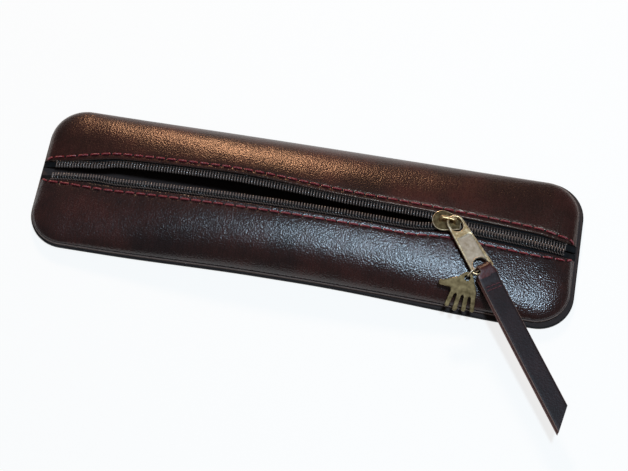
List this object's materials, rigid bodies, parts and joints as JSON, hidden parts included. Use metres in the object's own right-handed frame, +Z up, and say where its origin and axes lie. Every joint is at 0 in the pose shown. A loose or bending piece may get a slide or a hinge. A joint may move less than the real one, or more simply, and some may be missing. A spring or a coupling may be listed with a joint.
{
  "type": "fountain pen case",
  "caption": "Slim domed leather pen case with a long coil zip, a slider with a pull tab, a leather pull strap and a hand-shaped charm.",
  "frame": {"origin": "centre of the back panel's underside, on the surface that the case lies on", "axes": "+X along the zip towards its closed end, +Y across the case towards the far panel, +Z up out of the dome"},
  "size_m": [0.2113, 0.1036, 0.0176],
  "materials": {
    "leather": "dark brown pebbled cowhide with a satin finish",
    "zip_tape": "black woven polyester zip tape",
    "zip_coil": "black drawn nylon coil with a soft gloss",
    "black_thread": "black twisted polyester thread",
    "red_thread": "dark red twisted polyester thread with a slight sheen",
    "antique_brass": "cast zinc with an antique brass plating, brighter along worn edges"
  },
  "bodies": {
    "case": {"back_panel": "leather", "front_panel_near": "leather", "front_panel_far": "leather", "rim_seam": "black_thread", "panel_stitching_near": "red_thread", "panel_stitching_far": "red_thread", "end_tacks": "red_thread"},
    "near_lip": {"zipper_tape_near": "zip_tape", "coil_near": "zip_coil", "filler_cord_near": "black_thread", "coil_stitching_near": "black_thread"},
    "far_lip": {"zipper_tape_far": "zip_tape", "coil_far": "zip_coil", "filler_cord_far": "black_thread", "coil_stitching_far": "black_thread"},
    "slider": {"slider_body": "antique_brass", "slider_bridge": "antique_brass"},
    "pull_tab": {"pull_tab": "antique_brass"},
    "strap": {"pull_strap": "leather", "strap_stitching": "red_thread"},
    "jump_ring": {"jump_ring": "antique_brass"},
    "charm": {"hand_charm": "antique_brass"}
  },
  "joints": [
    {"name": "slider_travel", "type": "hinge", "parent": "case", "child": "slider", "pos_m": [0, 0, -0.5858], "axis": [0, 1, 0], "range_deg": [-13.02, 2.88]},
    {"name": "near_lip_closing", "type": "slide", "parent": "case", "child": "near_lip", "axis": [0, 1, 0], "range_m": [-0.0006, 0.0023], "deforming": ["zipper_tape_near", "coil_near", "filler_cord_near", "coil_stitching_near"]},
    {"name": "far_lip_closing", "type": "slide", "parent": "case", "child": "far_lip", "axis": [0, -1, 0], "range_m": [-0.0009, 0.0035], "deforming": ["zipper_tape_far", "coil_far", "filler_cord_far", "coil_stitching_far"]},
    {"name": "tab_lift", "type": "hinge", "parent": "slider", "child": "pull_tab", "pos_m": [0.05385, 0, 0.0155], "axis": [-0.3118, -0.9497, 0.0277], "range_deg": [0, 125]},
    {"name": "strap_swing", "type": "hinge", "parent": "pull_tab", "child": "strap", "pos_m": [0.06963, -0.01721, 0.01307], "axis": [-0.7741, -0.6293, 0.0686], "range_deg": [0, 40]},
    {"name": "ring_swing", "type": "hinge", "parent": "pull_tab", "child": "jump_ring", "pos_m": [0.06573, -0.01845, 0.01347], "axis": [-0.6234, 0.7767, 0.0903], "range_deg": [0, 40]},
    {"name": "charm_swivel", "type": "hinge", "parent": "jump_ring", "child": "charm", "pos_m": [0.06413, -0.02033, 0.01208], "axis": [-0.2247, -0.4462, 0.8663], "range_deg": [-14, 8]}
  ],
  "couplings": [
    {"joint": "near_lip_closing", "follows": "slider_travel", "m_per_rad": -0.009682},
    {"joint": "far_lip_closing", "follows": "slider_travel", "m_per_rad": -0.014963}
  ]
}
